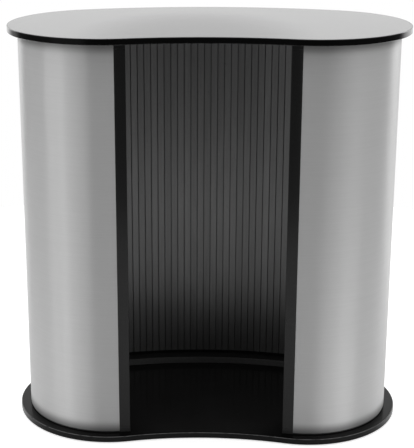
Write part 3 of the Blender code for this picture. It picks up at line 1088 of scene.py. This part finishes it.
@dataclass
class ScrewRow:
    """Countersunk screws through a former, evenly spaced along its middle.

    rim is how far the head's edge is chamfered, across and up. tip is where the point turns
    blunt, as shares of the shank's radius and the point's length. arm is the recess's half
    length and half width as shares of the head's radius, and narrowing its floor's size.
    narrowed is how much of the head's cone lies below the board's core.
    """

    count: int = 7
    radius: float = 0.002
    head_radius: float = 0.004
    length: float = 0.030
    point: float = 0.003
    clearance: float = 0.0003
    rim: tuple[float, float] = (0.0002, 0.0003)
    tip: tuple[float, float] = (0.45, 0.3)
    arm: tuple[float, float] = (0.55, 0.14)
    recess_depth: float = 0.0018
    narrowing: float = 0.6
    narrowed: float = 0.0007

    def places(self) -> list[Vector]:
        """The screws' places in plan.

        Returns:
            A point for each screw, at level 0.
        """
        line = PLAN.formers()
        inset = (DEPTHS.former_face + DEPTHS.former_back) / 2
        spacing = line.length(inset) / self.count
        return [line.place(spacing * (index + 0.5), inset).point for index in range(self.count)]

    @property
    def neck(self) -> float:
        """The height of the conical head."""
        return self.head_radius - self.radius

    @property
    def shank_hole(self) -> float:
        """The radius of a hole for the shank."""
        return self.radius + self.clearance

    @property
    def head_hole(self) -> float:
        """The radius of a hole for the head."""
        return self.head_radius + self.clearance

    def near_hole(self, middle: Vector) -> bool:
        """Whether a point is at the rim of one of the holes."""
        return any((middle.xy - place.xy).length < self.head_radius * 2 for place in self.places())

    def mouths(self, bm: bmesh.types.BMesh, low: float) -> Edges:
        """The edges round the holes' lower mouths, at the level low."""
        return corner_edges(bm, lambda middle: middle.z < low + WELD and self.near_hole(middle))

    def screw(self, bm: bmesh.types.BMesh, place: Vector) -> None:
        """One screw, its head down, with a cross recess and a blunt point.

        Args:
            bm: the shape to add to.
            place: the middle of its head's lower face.
        """
        across, up = self.rim
        thin, short = self.tip
        profile = [
            (self.head_radius - across, 0), (self.head_radius, up), (self.radius, self.neck),
            (self.radius, self.length - self.point),
            (self.radius * thin, self.length - self.point * short), (0, self.length),
        ]
        made = turned(bm, profile, place, sides=24)
        low = min(vert.co.z for vert in made)
        around = once(
            edge for vert in made for edge in vert.link_edges
            if all(abs(end.co.z - low) < WELD for end in edge.verts)
        )
        cross = self.recess(bm, place)
        fill(bm, around + cross)
        deep = bmesh.ops.extrude_edge_only(bm, edges=cross)["geom"]
        floor = only(bmesh.types.BMVert, deep)
        bmesh.ops.translate(bm, vec=(0, 0, self.recess_depth), verts=floor)
        narrower = (self.narrowing, self.narrowing, 1)
        bmesh.ops.scale(bm, vec=narrower, space=Matrix.Translation(-place), verts=floor)
        edges = [edge for edge in only(bmesh.types.BMEdge, deep) if all(end in floor for end in edge.verts)]
        bmesh.ops.contextual_create(bm, geom=edges)

    def recess(self, bm: bmesh.types.BMesh, place: Vector) -> Edges:
        """The cross-shaped mouth of a screw's recess.

        Args:
            bm: the shape to draw in.
            place: its middle.

        Returns:
            The mouth's edges.
        """
        arm, half = (self.head_radius * share for share in self.arm)
        before = set(bm.edges)
        mouth = ((half, half, 0), (arm, half, 0), (arm, -half, 0), (half, -half, 0))
        corner = [bm.verts.new(point) for point in mouth]
        edges = [bm.edges.new(pair) for pair in zip(corner, corner[1:])]
        whole = corner + edges
        for turn in range(1, 4):
            copied = bmesh.ops.duplicate(bm, geom=corner + edges)["geom"]
            quarter = Matrix.Rotation(turn * HALF_TURN / 2, 3, "Z")
            bmesh.ops.rotate(bm, cent=(0, 0, 0), matrix=quarter, verts=only(bmesh.types.BMVert, copied))
            whole += copied
        verts = only(bmesh.types.BMVert, whole)
        bmesh.ops.remove_doubles(bm, verts=verts, dist=WELD)
        verts = [vert for vert in verts if vert.is_valid]
        bmesh.ops.translate(bm, vec=place, verts=verts)
        return [edge for edge in bm.edges if edge not in before]

    def build(self, shop: Workshop, prefix: str, body: Body) -> None:
        """The whole row as one piece.

        Args:
            shop: where the piece is made.
            prefix: the board's name.
            body: the body that it rides on.
        """
        low, _ = levels(f"{prefix}_former_screw_1")
        bm = bmesh.new()
        for place in self.places():
            self.screw(bm, Vector((place.x, place.y, low)))
        nodes = [f"{prefix}_former_screw_{number + 1}" for number in range(self.count)]
        shop.piece(f"{prefix}_screws", bm, body, Surface.ZINC, nodes)


@dataclass
class Board(Maker):
    """A laminated board: a core between two laminates, with a band round its edge.

    holes gives the radius of the screw holes in each layer that has them, and sunk the layer
    whose holes widen downwards for the screws' heads, and by how much.
    """

    prefix: str
    body: Body
    laminate: Surface
    edging: Surface
    holes: dict[str, float]
    sunk: tuple[str, float] = ("", 0.0)
    band: float = 0.002
    arris: float = 0.0018
    crisp: float = 0.0003
    screws: ScrewRow = field(default_factory=ScrewRow)

    def layer(self, kind: str, surface: Surface) -> None:
        """One layer of the board within its band.

        Args:
            kind: the layer's name.
            surface: its finished surface.
        """
        node = f"{self.prefix}_{kind}"
        low, high = levels(node)
        bm = bmesh.new()
        edges = closed_line(bm, PLAN.outline(), self.band + DEPTHS.gap, low)
        if kind in self.holes:
            for place in self.screws.places():
                edges += ring(bm, place, self.holes[kind], low)
        raise_faces(bm, fill(bm, edges), high - low)
        ease(bm, corner_edges(bm, lambda middle: not upright(middle, low, high)), self.crisp, segments=2)
        if kind == self.sunk[0]:
            ease(bm, self.screws.mouths(bm, low), self.sunk[1], segments=1)
        self.shop.piece(f"{node}_sheet", bm, self.body, surface, [node])

    def edge_band(self) -> None:
        """The band, with rounded outer arrises."""
        node = f"{self.prefix}_edge_band"
        bm = bmesh.new()
        rounding = (self.arris, self.crisp)
        sweep(bm, PLAN.outline(), (0, self.band), levels(node), rounding, segments=5, longest=0.006)
        bmesh.ops.remove_doubles(bm, verts=bm.verts, dist=WELD)
        ends = [face for face in bm.faces if all(len(edge.link_faces) > 2 for edge in face.edges)]
        bmesh.ops.delete(bm, geom=ends, context="FACES_ONLY")
        self.shop.piece(f"{self.prefix}_edging", bm, self.body, self.edging, [node])

    def build(self) -> None:
        """All the board's pieces."""
        self.layer("backing_laminate", Surface.BASE_LAMINATE)
        self.layer("core", Surface.CORE)
        self.layer("top_laminate", self.laminate)
        self.edge_band()


@dataclass
class Former(Maker):
    """A C-shaped former that locates the wall, with a hook tape round its outer edge.

    blind is how much wood is left above the screws where they come from below the board, or
    nothing where they go right through the former with their heads in its underside.
    """

    prefix: str
    body: Body
    blind: float = 0.0
    arris: float = 0.0009
    screws: ScrewRow = field(default_factory=ScrewRow)

    def board(self) -> None:
        """The former, drilled for its screws."""
        node = f"{self.prefix}_former"
        low, high = levels(node)
        line = PLAN.formers()
        bm = bmesh.new()
        outer = draw(bm, line, DEPTHS.former_face, low)
        inner = draw(bm, line, DEPTHS.former_back, low)
        for end in open_ends(outer):
            nearest = min(open_ends(inner), key=lambda vert: (vert.co - end.co).length)
            outer.append(bm.edges.new((end, nearest)))
        rings = [ring(bm, place, self.screws.shank_hole, low) for place in self.screws.places()]
        flat = fill(bm, outer + inner + [edge for each in rings for edge in each])
        if self.blind:
            lids = [bmesh.ops.contextual_create(bm, geom=each)["faces"][0] for each in rings]
            raise_faces(bm, flat + lids, high - low)
            raise_faces(bm, lids, high - low - self.blind)
            bmesh.ops.delete(bm, geom=lids, context="FACES_ONLY")
        else:
            raise_faces(bm, flat, high - low)
            ease(bm, self.screws.mouths(bm, low), self.screws.neck, segments=1)
        rim = corner_edges(
            bm, lambda middle: not upright(middle, low, high) and not self.screws.near_hole(middle)
        )
        ease(bm, rim, self.arris)
        self.shop.piece(f"{self.prefix}_former_board", bm, self.body, Surface.BOARD, [node])

    def tape(self) -> None:
        """The hook tape on the former's outer edge."""
        node = f"{self.prefix}_hook_tape"
        bm = bmesh.new()
        depths = (DEPTHS.hook_face, DEPTHS.hook_face + DEPTHS.tape)
        sweep(bm, PLAN.formers(), depths, levels(node), (DEPTHS.pile_arris, DEPTHS.tape_arris))
        self.shop.piece(f"{self.prefix}_hook_strip", bm, self.body, Surface.TAPE, [node])

    def build(self) -> None:
        """The former, its tape and its screws."""
        self.board()
        self.tape()
        self.screws.build(self.shop, self.prefix, self.body)


@dataclass
class Pads(Maker):
    """Round rubber pads under the base, with a domed underside."""

    count: int = 8
    radius: float = 0.012
    inset: float = 0.028
    rounding: float = 0.0008

    def build(self) -> None:
        """All the pads as one piece."""
        outline = PLAN.outline()
        around = outline.length(self.inset)
        middle = outline.arcs[0].length(self.inset) / 2
        low, high = levels("base_pad_1")
        profile = [(0, low), (self.radius - self.rounding, low)]
        for step in (1, 2):
            turn = HALF_TURN / 2 * step / 3
            profile.append((
                self.radius - self.rounding * (1 - math.sin(turn)),
                low + self.rounding * (1 - math.cos(turn)),
            ))
        profile += [(self.radius, low + self.rounding), (self.radius, high), (0, high)]
        bm = bmesh.new()
        for index in range(self.count):
            distance = (middle + around * (index + 0.5) / self.count) % around
            turned(bm, profile, outline.place(distance, self.inset).point, sides=32)
        nodes = [f"base_pad_{number + 1}" for number in range(self.count)]
        self.shop.piece("base_pads", bm, Body.BASE, Surface.RUBBER, nodes)


# Wall


@dataclass
class TambourWall(Maker):
    """The wall: a smooth silver sheet, slats behind it, and loop tapes at its head and foot."""

    pitch: float = 0.0179
    kerf: float = 0.0015
    off_centre: float = 0.0052
    narrowest: float = 0.004
    web: float = 0.0005
    arris: float = 0.0005
    skin_arris: float = 0.0002
    tone_spread: float = 0.07
    web_tone: float = 0.5
    kerf_spread: float = 0.0002
    seed: int = 7

    def stops(self) -> list[float]:
        """The distances along the wall's face of its ends and of each kerf.

        Returns:
            The distances, from the end in the right post.
        """
        length = PLAN.wall().length(DEPTHS.overhang)
        middle = length / 2 - self.off_centre
        before = math.floor((middle - self.narrowest) / self.pitch)
        after = math.floor((length - middle - self.narrowest) / self.pitch)
        kerfs = [middle + index * self.pitch for index in range(-before, after + 1)]
        return [0.0, *kerfs, length]

    def skin(self) -> None:
        """The silver sheet."""
        bm = bmesh.new()
        depths = (DEPTHS.overhang, DEPTHS.overhang + DEPTHS.skin)
        rounding = (self.skin_arris, self.skin_arris)
        sweep(bm, PLAN.wall(), depths, levels("wall_skin"), rounding, segments=2, longest=0.005)
        self.shop.piece("silver_skin", bm, Body.WALL, Surface.SILVER, ["wall_skin"])

    def slat(
        self, bm: bmesh.types.BMesh, wall: Line, stops: tuple[float, float], span: tuple[float, float],
        tone: float, spare: tuple[float, float],
    ) -> None:
        """One slat between two stops, with eased long edges and its own tone.

        Args:
            bm: the shape to add to.
            wall: the wall's line.
            stops: the distances along the wall's face of the kerfs on both its sides.
            span: its lowest and highest level.
            tone: its tone, about 1.
            spare: how much narrower it is than its kerfs allow, on each side.
        """
        (begin, finish), (low, high) = stops, span
        start = wall.place(begin, DEPTHS.overhang).point
        chord = wall.place(finish, DEPTHS.overhang).point - start
        along = chord.normalized()
        inward = Vector((-along.y, along.x, 0))
        near = self.kerf / 2 + spare[0]
        far = chord.length - self.kerf / 2 - spare[1]
        face = DEPTHS.slat_face - DEPTHS.overhang + self.web + DEPTHS.gap
        back = DEPTHS.slat_back - DEPTHS.overhang
        before = set(bm.verts)
        corners = [
            bm.verts.new(start + along * across + inward * depth + Vector((0, 0, low)))
            for across, depth in ((near, face), (far, face), (far, back), (near, back))
        ]
        flat = bmesh.ops.contextual_create(bm, geom=corners)["faces"]
        raise_faces(bm, flat, high - low)
        long_edges = once(
            edge for vert in bm.verts if vert not in before for edge in vert.link_edges
            if abs(edge.verts[0].co.z - edge.verts[1].co.z) > self.pitch
        )
        ease(bm, long_edges, self.arris)
        layer = bm.verts.layers.float["tone"]
        for vert in bm.verts:
            if vert not in before:
                vert[layer] = tone

    def slats(self) -> None:
        """The slats of the two lobes and the rear, each group with the web that joins it."""
        wall = PLAN.wall()
        stops = self.stops()
        near = wall.arcs[0].length(DEPTHS.overhang)
        far = near + wall.arcs[1].length(DEPTHS.overhang)
        first = min(range(len(stops)), key=lambda index: abs(stops[index] - near))
        second = min(range(len(stops)), key=lambda index: abs(stops[index] - far))
        groups = {
            "right_lobe_slats": stops[: first + 1],
            "rear_slats": stops[first: second + 1],
            "left_lobe_slats": stops[second:],
        }
        chance = random.Random(self.seed)
        height = levels("rear_slats")
        for node, span in groups.items():
            bm = bmesh.new()
            bm.verts.layers.float.new("tone")
            self.backing(bm, wall, span[0] + self.kerf / 2, span[-1] - self.kerf / 2)
            for pair in zip(span, span[1:]):
                tone = 1 + chance.uniform(-1, 1) * self.tone_spread
                spare = (chance.uniform(0, self.kerf_spread), chance.uniform(0, self.kerf_spread))
                self.slat(bm, wall, pair, height, tone, spare)
            self.shop.piece(f"{node}_row", bm, Body.WALL, Surface.SLATS, [node])

    def backing(self, bm: bmesh.types.BMesh, wall: Line, begin: float, finish: float) -> None:
        """The thin web behind the kerfs, between two distances along the wall's face.

        Args:
            bm: the shape to add to.
            wall: the wall's line.
            begin: the nearer distance.
            finish: the farther one.
        """
        arcs = []
        passed = 0.0
        for arc in wall.arcs:
            length = arc.length(DEPTHS.overhang)
            start = min(max(begin - passed, 0), length)
            end = min(max(finish - passed, 0), length)
            if end - start > WELD:
                reach = arc.reach(DEPTHS.overhang)
                arcs.append(replace(arc, start=arc.start + start / reach, end=arc.start + end / reach))
            passed += length
        depths = (DEPTHS.slat_face, DEPTHS.slat_face + self.web)
        sweep(bm, Line(tuple(arcs)), depths, levels("rear_slats"), (0, 0))
        layer = bm.verts.layers.float["tone"]
        for vert in bm.verts:
            vert[layer] = self.web_tone

    def loop_tapes(self) -> None:
        """The loop tapes along the inside of the wall's head and foot."""
        line = PLAN.wall().lengthened(-(PLAN.post_lap + DEPTHS.gap), DEPTHS.overhang)
        depths = (DEPTHS.loop_face, DEPTHS.loop_face + DEPTHS.tape)
        for node in ("lower_loop_tape", "upper_loop_tape"):
            bm = bmesh.new()
            sweep(bm, line, depths, levels(node), (DEPTHS.tape_arris, DEPTHS.pile_arris))
            self.shop.piece(f"{node}_strip", bm, Body.WALL, Surface.TAPE, [node])

    def build(self) -> None:
        """All the wall's pieces but its posts."""
        self.skin()
        self.slats()
        self.loop_tapes()


@dataclass
class Post(Maker):
    """A hollow post over one end of the wall, with a cap at its head and at its foot."""

    side: Side
    corner: float = 0.002
    lip: float = 0.0003
    plug_length: float = 0.018
    cap_arris: float = 0.0003

    def placed(self, corners: Iterable[tuple[float, float]], level: float) -> list[Vector]:
        """Corners set over the wall's end, each from across and depth to a point at a level.

        Args:
            corners: distances across, from the post's mouth outwards, and depths behind the wall's face.
            level: the points' height.

        Returns:
            The points, mirrored for the left side.
        """
        wall = PLAN.wall()
        grip = wall.place(PLAN.post_lap / 2, DEPTHS.overhang)
        mouth = grip.point + grip.along * (PLAN.post_lap / 2)
        points = [mouth - grip.along * across + grip.inward * depth for across, depth in corners]
        return [Vector((point.x * self.side.value, point.y, level)) for point in points]

    def outline(self, bm: bmesh.types.BMesh, level: float) -> None:
        """Draw the post's outline with its grip for the wall, as a flat face with rounded corners.

        Args:
            bm: the shape to draw in.
            level: its height.
        """
        back = DEPTHS.loop_face - DEPTHS.overhang
        floor = PLAN.post_lap + DEPTHS.gap
        front = -DEPTHS.gap - DEPTHS.post_wall
        rear = back + DEPTHS.post_wall
        corners = [
            (0, front), (PLAN.post_width, front), (PLAN.post_width, rear), (0, rear), (0, back),
            (floor, back), (floor, -DEPTHS.gap), (0, -DEPTHS.gap),
        ]
        verts = [bm.verts.new(point) for point in self.placed(corners, level)]
        bmesh.ops.contextual_create(bm, geom=verts)
        ease(bm, verts[1:3], self.corner, segments=6, affect="VERTICES")
        ease(bm, [verts[0], verts[3]], self.lip, segments=2, affect="VERTICES")

    def hollow(self, bm: bmesh.types.BMesh, level: float, spare: float) -> Edges:
        """The edges of the hollow's outline, drawn in by a spare clearance.

        Args:
            bm: the shape to draw in.
            level: its height.
            spare: the clearance all round.

        Returns:
            The edges.
        """
        left = PLAN.post_lap + DEPTHS.gap + DEPTHS.post_wall + spare
        right = PLAN.post_width - DEPTHS.post_wall - spare
        front = -DEPTHS.gap + spare
        back = DEPTHS.loop_face - DEPTHS.overhang - spare
        before = set(bm.edges)
        corners = [(right, front), (right, back), (left, back), (left, front)]
        verts = [bm.verts.new(point) for point in self.placed(corners, level)]
        bmesh.ops.contextual_create(bm, geom=verts)
        ease(bm, verts[:2], self.corner - DEPTHS.post_wall, segments=4, affect="VERTICES")
        made = [edge for edge in bm.edges if edge not in before]
        faces = once(face for edge in made for face in edge.link_faces)
        bmesh.ops.delete(bm, geom=faces, context="FACES_ONLY")
        return made

    def profile(self) -> None:
        """The hollow post itself."""
        node = f"{self.side.name.lower()}_end_post"
        low, high = levels(node)
        bm = bmesh.new()
        self.outline(bm, low)
        edges = bm.edges[:]
        bmesh.ops.delete(bm, geom=bm.faces[:], context="FACES_ONLY")
        edges += self.hollow(bm, low, 0)
        raise_faces(bm, fill(bm, edges), high - low)
        self.shop.piece(f"{self.side.name.lower()}_post", bm, Body.WALL, Surface.PROFILE, [node])

    def cap(self, end: str) -> None:
        """A cap at the post's head or foot, with a plug in the post's hollow.

        Args:
            end: head or foot.
        """
        node = f"{self.side.name.lower()}_post_{end}_cap"
        up = 1 if end == "foot" else -1
        low, high = levels(node)
        far = low if up > 0 else high
        thick = (high - low - self.plug_length) * up
        bm = bmesh.new()
        self.outline(bm, far)
        raise_faces(bm, bm.faces[:], thick)
        near = far + thick
        rim = corner_edges(bm, lambda middle: not upright(middle, far, near))
        ease(bm, rim, self.cap_arris)
        raise_faces(bm, fill(bm, self.hollow(bm, near, DEPTHS.gap)), self.plug_length * up)
        self.shop.piece(f"{node}_moulding", bm, Body.WALL, Surface.PLASTIC, [node])

    def build(self) -> None:
        """The post and its two caps."""
        self.profile()
        for end in ("foot", "head"):
            self.cap(end)


# Studio


@dataclass(frozen=True)
class Softbox:
    """A soft rectangular lamp that is aimed at a point and that the camera doesn't see.

    spread is the angle of its beam in radians, which narrows it under half a turn.
    """

    name: str
    place: tuple[float, float, float]
    aim: tuple[float, float, float]
    size: tuple[float, float]
    power: float
    spread: float = HALF_TURN

    def build(self) -> None:
        """Make the lamp."""
        lamp = bpy.data.lights.new(self.name, "AREA")
        lamp.shape = "RECTANGLE"
        lamp.size, lamp.size_y = self.size
        lamp.energy = self.power
        lamp.spread = self.spread
        item = bpy.data.objects.new(self.name, lamp)
        item.location = self.place
        way = Vector(self.aim) - Vector(self.place)
        item.rotation_euler = way.to_track_quat("-Z", "Y").to_euler()
        item.visible_camera = False
        bpy.context.scene.collection.objects.link(item)


@dataclass(frozen=True)
class Glow:
    """A soft glow of the surroundings towards one axis, for the light and not for the camera.

    axis is the direction's component, start and full its values where the glow begins and is
    full, and horizon says whether it keeps near the horizon.
    """

    axis: int
    start: float
    full: float
    strength: float
    horizon: bool = True


@dataclass
class Studio:
    """The floor, the light and the camera.

    The backdrop is the white that glossy surfaces mirror behind the counter. Its side, head and
    foot are where it fades in, from nothing to full, and lean turns it towards +X. The sky's foot
    and head do the same for the glows that keep near the horizon.
    """

    floor_radius: float = 1.9
    floor_colour: Colour = grey(0.8)
    floor_roughness: float = 0.9
    floor_glow: float = 0.6
    floor_mirrored: tuple[float, float] = (0.3, 1.2)
    backdrop_side: tuple[float, float] = (0.51, 0.83)
    backdrop_head: tuple[float, float] = (0.75, 0.40)
    backdrop_foot: tuple[float, float] = (-0.55, -0.25)
    backdrop_lean: float = 0.12
    sky_foot: tuple[float, float] = (-0.02, 0.0)
    sky_head: tuple[float, float] = (0.75, 0.15)
    glows: tuple[Glow, ...] = (
        Glow(0, -0.25, -0.95, 1.37),
        Glow(0, 0.25, 0.95, 1.15),
        Glow(2, 0.15, 0.85, 0.97, False),
        Glow(2, 0.0, -0.05, 0.264, False),
    )
    lamps: tuple[Softbox, ...] = (
        Softbox("left_side_softbox", (-2.86, -1.2, 1.3), (-0.2, 0, 0.4), (1.4, 1.4), 4.4),
        Softbox("left_front_softbox", (-2.07, -2.33, 0.5), (-0.2, 0, 0.4), (2.0, 1.0), 4.9),
        Softbox("right_side_softbox", (2.6, -1.75, 0.5), (0.2, 0, -0.4), (1.5, 1.0), 0.62, BEAM),
        Softbox("right_front_softbox", (1.75, -2.6, 0.5), (0.2, 0, -0.4), (2.0, 1.0), 0.82, BEAM),
        Softbox("left_rim_softbox", (-2.2, 2.1, 1.5), (-0.2, 0, 0.6), (0.8, 1.6), 2.2),
        Softbox("right_rim_softbox", (2.5, 1.7, 1.7), (0.2, 0, 0.6), (1.3, 1.4), 5.6),
        Softbox("overhead_softbox", (0, 0.4, 2.7), (0, 0, 0.5), (2.0, 1.0), 12),
    )

    def floor(self) -> None:
        """A plain pale disc that the camera sees as white, with the counter's soft shadow."""
        bm = bmesh.new()
        bmesh.ops.create_circle(bm, cap_ends=True, radius=self.floor_radius, segments=96)
        mesh = bpy.data.meshes.new("floor")
        bm.to_mesh(mesh)
        bm.free()
        material = bpy.data.materials.new("floor_white")
        material.use_nodes = True
        sheet = Sheet(material.node_tree)
        shader = material.node_tree.nodes["Principled BSDF"]
        path = sheet.add("LightPath").outputs
        place = sheet.parts("Object")
        behind = sheet.maths("MULTIPLY", path["Is Glossy Ray"], sheet.ramp(place[1], *self.floor_mirrored))
        shown = sheet.maths("ADD", path["Is Camera Ray"], behind, clamp=True)
        sheet.wired(shader, {
            "Base Color": (*self.floor_colour, 1), "Roughness": self.floor_roughness,
            "Specular IOR Level": 0.0, "Emission Color": (1, 1, 1, 1),
            "Emission Strength": sheet.maths("MULTIPLY", shown, self.floor_glow),
        })
        mesh.materials.append(material)
        item = bpy.data.objects.new("floor", mesh)
        bpy.context.scene.collection.objects.link(item)

    def surroundings(self) -> None:
        """A white background, and a soft studio that is dimmer in front and above."""
        world = bpy.data.worlds.new("studio")
        bpy.context.scene.world = world
        world.use_nodes = True
        sheet = Sheet(world.node_tree)
        way = sheet.parts("Generated")
        above = sheet.ramp(way[2], *self.sky_foot)
        low = sheet.maths("MULTIPLY", above, sheet.ramp(way[2], *self.sky_head))
        light: Any = 0.0
        for glow in self.glows:
            part = sheet.ramp(way[glow.axis], glow.start, glow.full, 0.0, glow.strength)
            if glow.horizon:
                part = sheet.maths("MULTIPLY", part, low)
            light = sheet.maths("ADD", part, light)
        path = sheet.add("LightPath").outputs
        seen = sheet.maths("ADD", path["Is Glossy Ray"], path["Is Transmission Ray"], clamp=True)
        rearward = sheet.maths("ADD", way[1], sheet.maths("MULTIPLY", way[0], self.backdrop_lean))
        backdrop = sheet.ramp(rearward, *self.backdrop_side)
        for edge in (self.backdrop_head, self.backdrop_foot):
            backdrop = sheet.maths("MULTIPLY", backdrop, sheet.ramp(way[2], *edge))
        shown = sheet.maths("MULTIPLY", seen, backdrop)
        white = sheet.maths("ADD", path["Is Camera Ray"], shown, clamp=True)
        grey = sheet.add("CombineColor", {0: light, 1: light, 2: light}).outputs[0]
        colour = sheet.blend(white, grey, (1, 1, 1, 1))
        sheet.wired(world.node_tree.nodes["Background"], {"Color": colour, "Strength": 1.0})

    def build(self) -> None:
        """The floor, the lamps, the surroundings and the camera."""
        self.floor()
        self.surroundings()
        for lamp in self.lamps:
            lamp.build()
        PhotoCamera().build()
        bpy.context.scene.view_settings.view_transform = "Standard"


@dataclass(frozen=True)
class PhotoCamera:
    """The camera at the photograph's place, with angles in radians."""

    place: tuple[float, float, float] = (0.0166, -3.0467, 1.4630)
    yaw: float = -0.0312
    pitch: float = 0.2971
    roll: float = 0.0017
    lens: float = 100.95
    sensor: float = 36
    shift: tuple[float, float] = (0.0670, -0.0361)

    def build(self) -> None:
        """Make the camera and give it to the scene."""
        ahead = Vector((
            math.sin(self.yaw) * math.cos(self.pitch),
            math.cos(self.yaw) * math.cos(self.pitch),
            -math.sin(self.pitch),
        ))
        right = Vector((math.cos(self.yaw), -math.sin(self.yaw), 0))
        down = ahead.cross(right)
        level = right * math.cos(self.roll) + down * math.sin(self.roll)
        up = right * math.sin(self.roll) - down * math.cos(self.roll)
        camera = bpy.data.cameras.new("photo_camera")
        camera.lens = self.lens
        camera.sensor_fit = "AUTO"
        camera.sensor_width = self.sensor
        camera.shift_x, camera.shift_y = self.shift
        item = bpy.data.objects.new("photo_camera", camera)
        turn = Matrix((level, up, -ahead)).transposed().to_4x4()
        item.matrix_world = Matrix.Translation(self.place) @ turn
        bpy.context.scene.collection.objects.link(item)
        bpy.context.scene.camera = item


def main() -> None:
    """Build the counter in order, then the studio."""
    logging.basicConfig(level=logging.INFO, format="%(name)s: %(message)s")
    shop = Workshop(Effects())
    screws = ScrewRow()
    through, sunk = screws.shank_hole, ("core", screws.neck - screws.narrowed)
    base_holes = {"backing_laminate": screws.head_hole, "core": through, "top_laminate": through}
    worktop_holes = {"backing_laminate": through, "core": through}
    Board(shop, "base", Body.BASE, Surface.BASE_LAMINATE, Surface.BASE_BAND, base_holes, sunk).build()
    Former(shop, "base", Body.BASE, blind=0.003).build()
    Pads(shop).build()
    TambourWall(shop).build()
    for side in Side:
        Post(shop, side).build()
    surfaces = (Surface.WORKTOP_LAMINATE, Surface.WORKTOP_BAND)
    Board(shop, "worktop", Body.WORKTOP, *surfaces, worktop_holes).build()
    Former(shop, "worktop", Body.WORKTOP).build()
    Studio().build()
    LOG.info("%d pieces", len(shop.made))


if __name__ == "__main__":
    main()
